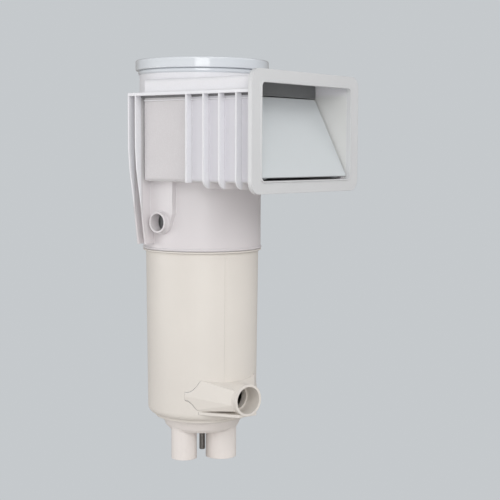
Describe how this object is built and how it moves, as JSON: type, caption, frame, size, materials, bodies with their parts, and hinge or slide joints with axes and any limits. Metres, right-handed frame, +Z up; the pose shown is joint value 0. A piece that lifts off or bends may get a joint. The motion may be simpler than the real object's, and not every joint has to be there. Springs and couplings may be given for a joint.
{
  "type": "swimming-pool weir skimmer",
  "caption": "Built-in pool skimmer: ribbed throat with a sprung weir flap, lidded well with a strainer basket, and a tall sump with pipe sockets below and at the side.",
  "frame": {"origin": "on the well's upright axis, in the plane of the bottom sockets' ends", "axes": "+Z up along the well's axis, the mouth faces -Y, +X to the right looking out of the mouth's back towards +Y"},
  "size_m": [0.326, 0.3696, 0.75],
  "materials": {
    "housing_plastic": "satin",
    "sump_plastic": "satin",
    "socket_plastic": "satin",
    "ring_plastic": "gloss",
    "flap_plastic": "satin",
    "basket_plastic": "satin",
    "grip_plastic": "matte",
    "foam": "matte",
    "seal_rubber": "matte",
    "baffle_rubber": "matte",
    "cord_rubber": "matte",
    "stud_steel": "satin",
    "valve_plastic": "matte",
    "steel": "satin"
  },
  "bodies": {
    "casing": {"sump": "sump_plastic", "sump_base": "sump_plastic", "small_socket": "socket_plastic", "large_socket": "socket_plastic", "side_socket": "sump_plastic", "upper_housing": "housing_plastic", "neck_collar": "ring_plastic", "overflow_socket": "housing_plastic", "joint_seal": "seal_rubber", "flange_seal_left": "cord_rubber", "flange_seal_right": "cord_rubber", "anchor_stud": "stud_steel", "mouth_frame": "housing_plastic", "basket_seat": "basket_plastic", "weir_baffle": "baffle_rubber", "hinge_bracket_left": "housing_plastic", "hinge_bracket_right": "housing_plastic", "weir_spring_left": "steel", "weir_spring_right": "steel", "flow_plate_screw": "steel", "valve_seat": "valve_plastic", "valve_spring": "steel"},
    "deck_ring": {"deck_ring": "ring_plastic"},
    "lid": {"deck_lid": "ring_plastic"},
    "basket": {"basket": "basket_plastic"},
    "handle": {"basket_handle": "basket_plastic", "basket_handle_grip": "grip_plastic"},
    "weir": {"weir_flap": "flap_plastic", "weir_float": "foam", "weir_seal": "baffle_rubber", "hinge_pin_left": "steel", "hinge_pin_right": "steel"},
    "flow_plate": {"flow_plate": "basket_plastic"},
    "valve": {"valve_poppet": "seal_rubber"}
  },
  "joints": [
    {"name": "ring_height", "type": "slide", "parent": "casing", "child": "deck_ring", "axis": [0, 0, 1], "range_m": [0, 0.012]},
    {"name": "lid_lift", "type": "slide", "parent": "deck_ring", "child": "lid", "axis": [0, 0, 1], "range_m": [0, 0.15]},
    {"name": "basket_lift", "type": "slide", "parent": "casing", "child": "basket", "axis": [0, 0, 1], "range_m": [0, 0.12]},
    {"name": "handle_fold", "type": "hinge", "parent": "basket", "child": "handle", "pos_m": [0, 0, 0.517], "axis": [1, 0, 0], "range_deg": [0, 164]},
    {"name": "weir_swing", "type": "hinge", "parent": "casing", "child": "weir", "pos_m": [0, -0.226, 0.54], "axis": [-1, 0, 0], "range_deg": [-24, 23], "stiffness_Nm_per_rad": 0.6, "springref_deg": -5.73},
    {"name": "flow_plate_turn", "type": "hinge", "parent": "casing", "child": "flow_plate", "pos_m": [0, 0, 0.09], "axis": [0, 0, 1], "range_deg": [-60, 60]},
    {"name": "valve_lift", "type": "slide", "parent": "casing", "child": "valve", "axis": [0, 0, 1], "range_m": [0, 0.008], "stiffness_N_per_m": 60, "springref_m": -0.003, "deforming": ["valve_spring"]}
  ]
}
